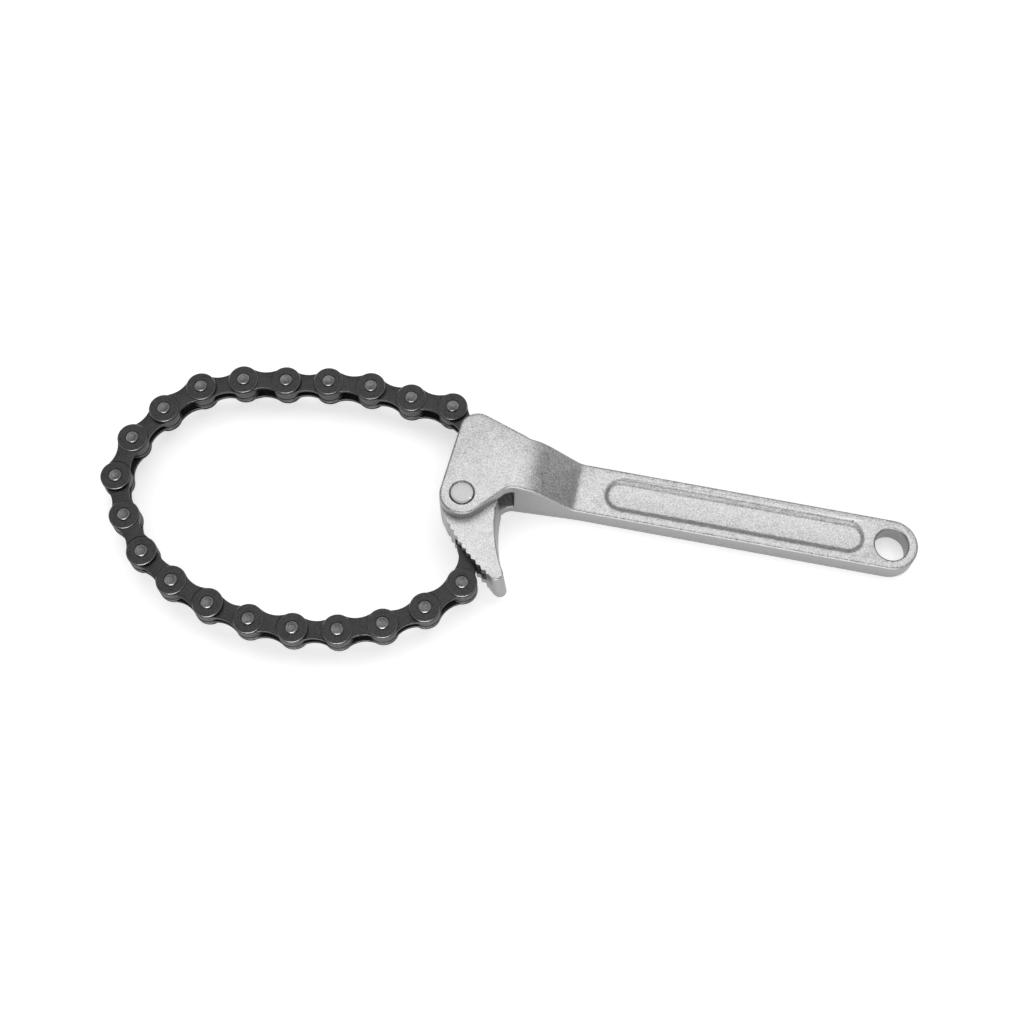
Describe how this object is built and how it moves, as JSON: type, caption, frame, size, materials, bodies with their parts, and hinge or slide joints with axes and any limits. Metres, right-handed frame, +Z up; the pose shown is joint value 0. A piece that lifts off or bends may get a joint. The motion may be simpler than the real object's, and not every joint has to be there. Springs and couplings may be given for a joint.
{
  "type": "chain oil filter wrench",
  "caption": "Chain wrench for oil filters: a forged handle with a forked head, a toothed cam on a rivet and a roller chain pinned to head and cam in a loop.",
  "frame": {"origin": "on the cam rivet's axis, at the flat underside of the head", "axes": "+X along the handle from the rivet towards the hang hole, +Z up along the rivet's axis, out of the head's upper face"},
  "size_m": [0.2367, 0.0864, 0.0192],
  "materials": {
    "satin_forging": "satin plated forging, fine grain",
    "chain_plates": "black oxide, slightly oily",
    "chain_rollers": "dark oxide, smooth",
    "chain_pins": "dark steel, bright chamfer"
  },
  "bodies": {
    "handle": {"handle_forging": "satin_forging", "cam_rivet": "satin_forging", "chain_anchor_pin": "chain_pins"},
    "cam": {"cam_jaw": "satin_forging", "cam_chain_pin": "chain_pins"},
    "link_01": {"inner_plates_01": "chain_plates"},
    "link_02": {"outer_plates_01": "chain_plates", "link_pins_01": "chain_pins"},
    "link_03": {"inner_plates_02": "chain_plates"},
    "link_04": {"outer_plates_02": "chain_plates", "link_pins_02": "chain_pins"},
    "link_05": {"inner_plates_03": "chain_plates"},
    "link_06": {"outer_plates_03": "chain_plates", "link_pins_03": "chain_pins"},
    "link_07": {"inner_plates_04": "chain_plates"},
    "link_08": {"outer_plates_04": "chain_plates", "link_pins_04": "chain_pins"},
    "link_09": {"inner_plates_05": "chain_plates"},
    "link_10": {"outer_plates_05": "chain_plates", "link_pins_05": "chain_pins"},
    "link_11": {"inner_plates_06": "chain_plates"},
    "link_12": {"outer_plates_06": "chain_plates", "link_pins_06": "chain_pins"},
    "link_13": {"inner_plates_07": "chain_plates"},
    "link_14": {"outer_plates_07": "chain_plates", "link_pins_07": "chain_pins"},
    "link_15": {"inner_plates_08": "chain_plates"},
    "link_16": {"outer_plates_08": "chain_plates", "link_pins_08": "chain_pins"},
    "link_17": {"inner_plates_09": "chain_plates"},
    "link_18": {"outer_plates_09": "chain_plates", "link_pins_09": "chain_pins"},
    "link_19": {"inner_plates_10": "chain_plates"},
    "link_20": {"outer_plates_10": "chain_plates", "link_pins_10": "chain_pins"},
    "link_21": {"inner_plates_11": "chain_plates"},
    "roller_01": {"roller_01": "chain_rollers"},
    "roller_02": {"roller_02": "chain_rollers"},
    "roller_03": {"roller_03": "chain_rollers"},
    "roller_04": {"roller_04": "chain_rollers"},
    "roller_05": {"roller_05": "chain_rollers"},
    "roller_06": {"roller_06": "chain_rollers"},
    "roller_07": {"roller_07": "chain_rollers"},
    "roller_08": {"roller_08": "chain_rollers"},
    "roller_09": {"roller_09": "chain_rollers"},
    "roller_10": {"roller_10": "chain_rollers"},
    "roller_11": {"roller_11": "chain_rollers"},
    "roller_12": {"roller_12": "chain_rollers"},
    "roller_13": {"roller_13": "chain_rollers"},
    "roller_14": {"roller_14": "chain_rollers"},
    "roller_15": {"roller_15": "chain_rollers"},
    "roller_16": {"roller_16": "chain_rollers"},
    "roller_17": {"roller_17": "chain_rollers"},
    "roller_18": {"roller_18": "chain_rollers"},
    "roller_19": {"roller_19": "chain_rollers"},
    "roller_20": {"roller_20": "chain_rollers"},
    "roller_21": {"roller_21": "chain_rollers"},
    "roller_22": {"roller_22": "chain_rollers"}
  },
  "joints": [
    {"name": "cam_pivot", "type": "hinge", "parent": "handle", "child": "cam", "pos_m": [0, 0, 0.0094], "axis": [0, 0, 1], "range_deg": [-30, 45]},
    {"name": "chain_hinge_01", "type": "hinge", "parent": "handle", "child": "link_01", "pos_m": [0.0004, 0.0204, 0.0094], "axis": [0, 0, 1], "range_deg": [-8.47, 12.7]},
    {"name": "chain_hinge_02", "type": "hinge", "parent": "link_01", "child": "link_02", "pos_m": [-0.00905, 0.02889, 0.0094], "axis": [0, 0, 1], "range_deg": [-4.55, 6.82]},
    {"name": "chain_hinge_03", "type": "hinge", "parent": "link_02", "child": "link_03", "pos_m": [-0.02174, 0.02935, 0.0094], "axis": [0, 0, 1], "range_deg": [-2.69, 4.04]},
    {"name": "chain_hinge_04", "type": "hinge", "parent": "link_03", "child": "link_04", "pos_m": [-0.03437, 0.03069, 0.0094], "axis": [0, 0, 1], "range_deg": [-8.06, 5.37]},
    {"name": "chain_hinge_05", "type": "hinge", "parent": "link_04", "child": "link_05", "pos_m": [-0.04704, 0.02983, 0.0094], "axis": [0, 0, 1], "range_deg": [-10.44, 6.96]},
    {"name": "chain_hinge_06", "type": "hinge", "parent": "link_05", "child": "link_06", "pos_m": [-0.05955, 0.02765, 0.0094], "axis": [0, 0, 1], "range_deg": [-7.93, 5.29]},
    {"name": "chain_hinge_07", "type": "hinge", "parent": "link_06", "child": "link_07", "pos_m": [-0.07206, 0.02548, 0.0094], "axis": [0, 0, 1], "range_deg": [-2.7, 4.04]},
    {"name": "chain_hinge_08", "type": "hinge", "parent": "link_07", "child": "link_08", "pos_m": [-0.08385, 0.02075, 0.0094], "axis": [0, 0, 1], "range_deg": [-7.07, 10.61]},
    {"name": "chain_hinge_09", "type": "hinge", "parent": "link_08", "child": "link_09", "pos_m": [-0.09272, 0.01166, 0.0094], "axis": [0, 0, 1], "range_deg": [-10.67, 16]},
    {"name": "chain_hinge_10", "type": "hinge", "parent": "link_09", "child": "link_10", "pos_m": [-0.09913, 0.0007, 0.0094], "axis": [0, 0, 1], "range_deg": [-8.93, 13.4]},
    {"name": "chain_hinge_11", "type": "hinge", "parent": "link_10", "child": "link_11", "pos_m": [-0.10055, -0.01192, 0.0094], "axis": [0, 0, 1], "range_deg": [-2.63, 3.95]},
    {"name": "chain_hinge_22", "type": "hinge", "parent": "cam", "child": "link_21", "pos_m": [0.0052, -0.0118, 0.0094], "axis": [0, 0, 1], "range_deg": [-4.07, 2.71]},
    {"name": "chain_hinge_21", "type": "hinge", "parent": "link_21", "child": "link_20", "pos_m": [0.00495, -0.0245, 0.0094], "axis": [0, 0, 1], "range_deg": [-13.02, 8.68]},
    {"name": "chain_hinge_20", "type": "hinge", "parent": "link_20", "child": "link_19", "pos_m": [-0.00371, -0.03379, 0.0094], "axis": [0, 0, 1], "range_deg": [-7.27, 4.84]},
    {"name": "chain_hinge_19", "type": "hinge", "parent": "link_19", "child": "link_18", "pos_m": [-0.01436, -0.04072, 0.0094], "axis": [0, 0, 1], "range_deg": [-6.1, 4.07]},
    {"name": "chain_hinge_18", "type": "hinge", "parent": "link_18", "child": "link_17", "pos_m": [-0.02636, -0.04488, 0.0094], "axis": [0, 0, 1], "range_deg": [-2.67, 4.01]},
    {"name": "chain_hinge_17", "type": "hinge", "parent": "link_17", "child": "link_16", "pos_m": [-0.03889, -0.0469, 0.0094], "axis": [0, 0, 1], "range_deg": [-8.3, 5.54]},
    {"name": "chain_hinge_16", "type": "hinge", "parent": "link_16", "child": "link_15", "pos_m": [-0.05159, -0.04672, 0.0094], "axis": [0, 0, 1], "range_deg": [-8.99, 5.99]},
    {"name": "chain_hinge_15", "type": "hinge", "parent": "link_15", "child": "link_14", "pos_m": [-0.06407, -0.04435, 0.0094], "axis": [0, 0, 1], "range_deg": [-4.05, 2.7]},
    {"name": "chain_hinge_14", "type": "hinge", "parent": "link_14", "child": "link_13", "pos_m": [-0.07595, -0.03986, 0.0094], "axis": [0, 0, 1], "range_deg": [-4.7, 7.05]},
    {"name": "chain_hinge_13", "type": "hinge", "parent": "link_13", "child": "link_12", "pos_m": [-0.08664, -0.03301, 0.0094], "axis": [0, 0, 1], "range_deg": [-11.72, 17.58]},
    {"name": "roller_spin_01", "type": "hinge", "parent": "link_01", "child": "roller_01", "pos_m": [0.0004, 0.0204, 0.0094], "axis": [0, 0, 1], "continuous": true},
    {"name": "roller_spin_02", "type": "hinge", "parent": "link_01", "child": "roller_02", "pos_m": [-0.00905, 0.02889, 0.0094], "axis": [0, 0, 1], "continuous": true},
    {"name": "roller_spin_03", "type": "hinge", "parent": "link_03", "child": "roller_03", "pos_m": [-0.02174, 0.02935, 0.0094], "axis": [0, 0, 1], "continuous": true},
    {"name": "roller_spin_04", "type": "hinge", "parent": "link_03", "child": "roller_04", "pos_m": [-0.03437, 0.03069, 0.0094], "axis": [0, 0, 1], "continuous": true},
    {"name": "roller_spin_05", "type": "hinge", "parent": "link_05", "child": "roller_05", "pos_m": [-0.04704, 0.02983, 0.0094], "axis": [0, 0, 1], "continuous": true},
    {"name": "roller_spin_06", "type": "hinge", "parent": "link_05", "child": "roller_06", "pos_m": [-0.05955, 0.02765, 0.0094], "axis": [0, 0, 1], "continuous": true},
    {"name": "roller_spin_07", "type": "hinge", "parent": "link_07", "child": "roller_07", "pos_m": [-0.07206, 0.02548, 0.0094], "axis": [0, 0, 1], "continuous": true},
    {"name": "roller_spin_08", "type": "hinge", "parent": "link_07", "child": "roller_08", "pos_m": [-0.08385, 0.02075, 0.0094], "axis": [0, 0, 1], "continuous": true},
    {"name": "roller_spin_09", "type": "hinge", "parent": "link_09", "child": "roller_09", "pos_m": [-0.09272, 0.01166, 0.0094], "axis": [0, 0, 1], "continuous": true},
    {"name": "roller_spin_10", "type": "hinge", "parent": "link_09", "child": "roller_10", "pos_m": [-0.09913, 0.0007, 0.0094], "axis": [0, 0, 1], "continuous": true},
    {"name": "roller_spin_11", "type": "hinge", "parent": "link_11", "child": "roller_11", "pos_m": [-0.10055, -0.01192, 0.0094], "axis": [0, 0, 1], "continuous": true},
    {"name": "roller_spin_12", "type": "hinge", "parent": "link_11", "child": "roller_12", "pos_m": [-0.0947, -0.02319, 0.0094], "axis": [0, 0, 1], "continuous": true},
    {"name": "roller_spin_13", "type": "hinge", "parent": "link_13", "child": "roller_13", "pos_m": [-0.08664, -0.03301, 0.0094], "axis": [0, 0, 1], "continuous": true},
    {"name": "roller_spin_14", "type": "hinge", "parent": "link_13", "child": "roller_14", "pos_m": [-0.07595, -0.03986, 0.0094], "axis": [0, 0, 1], "continuous": true},
    {"name": "roller_spin_15", "type": "hinge", "parent": "link_15", "child": "roller_15", "pos_m": [-0.06407, -0.04435, 0.0094], "axis": [0, 0, 1], "continuous": true},
    {"name": "roller_spin_16", "type": "hinge", "parent": "link_15", "child": "roller_16", "pos_m": [-0.05159, -0.04672, 0.0094], "axis": [0, 0, 1], "continuous": true},
    {"name": "roller_spin_17", "type": "hinge", "parent": "link_17", "child": "roller_17", "pos_m": [-0.03889, -0.0469, 0.0094], "axis": [0, 0, 1], "continuous": true},
    {"name": "roller_spin_18", "type": "hinge", "parent": "link_17", "child": "roller_18", "pos_m": [-0.02636, -0.04488, 0.0094], "axis": [0, 0, 1], "continuous": true},
    {"name": "roller_spin_19", "type": "hinge", "parent": "link_19", "child": "roller_19", "pos_m": [-0.01436, -0.04072, 0.0094], "axis": [0, 0, 1], "continuous": true},
    {"name": "roller_spin_20", "type": "hinge", "parent": "link_19", "child": "roller_20", "pos_m": [-0.00371, -0.03379, 0.0094], "axis": [0, 0, 1], "continuous": true},
    {"name": "roller_spin_21", "type": "hinge", "parent": "link_21", "child": "roller_21", "pos_m": [0.00495, -0.0245, 0.0094], "axis": [0, 0, 1], "continuous": true},
    {"name": "roller_spin_22", "type": "hinge", "parent": "link_21", "child": "roller_22", "pos_m": [0.0052, -0.0118, 0.0094], "axis": [0, 0, 1], "continuous": true}
  ],
  "couplings": [
    {"joint": "chain_hinge_01", "follows": "cam_pivot", "ratio": 0.28233},
    {"joint": "chain_hinge_02", "follows": "cam_pivot", "ratio": 0.15161},
    {"joint": "chain_hinge_03", "follows": "cam_pivot", "ratio": 0.089775},
    {"joint": "chain_hinge_04", "follows": "cam_pivot", "ratio": -0.17913},
    {"joint": "chain_hinge_05", "follows": "cam_pivot", "ratio": -0.2321},
    {"joint": "chain_hinge_06", "follows": "cam_pivot", "ratio": -0.17633},
    {"joint": "chain_hinge_07", "follows": "cam_pivot", "ratio": 0.089839},
    {"joint": "chain_hinge_08", "follows": "cam_pivot", "ratio": 0.23581},
    {"joint": "chain_hinge_09", "follows": "cam_pivot", "ratio": 0.35557},
    {"joint": "chain_hinge_10", "follows": "cam_pivot", "ratio": 0.29771},
    {"joint": "chain_hinge_11", "follows": "cam_pivot", "ratio": 0.087758},
    {"joint": "chain_hinge_22", "follows": "cam_pivot", "ratio": -0.090372},
    {"joint": "chain_hinge_21", "follows": "cam_pivot", "ratio": -0.28929},
    {"joint": "chain_hinge_20", "follows": "cam_pivot", "ratio": -0.16147},
    {"joint": "chain_hinge_19", "follows": "cam_pivot", "ratio": -0.13556},
    {"joint": "chain_hinge_18", "follows": "cam_pivot", "ratio": 0.089136},
    {"joint": "chain_hinge_17", "follows": "cam_pivot", "ratio": -0.18452},
    {"joint": "chain_hinge_16", "follows": "cam_pivot", "ratio": -0.1997},
    {"joint": "chain_hinge_15", "follows": "cam_pivot", "ratio": -0.089956},
    {"joint": "chain_hinge_14", "follows": "cam_pivot", "ratio": 0.15667},
    {"joint": "chain_hinge_13", "follows": "cam_pivot", "ratio": 0.3907}
  ]
}
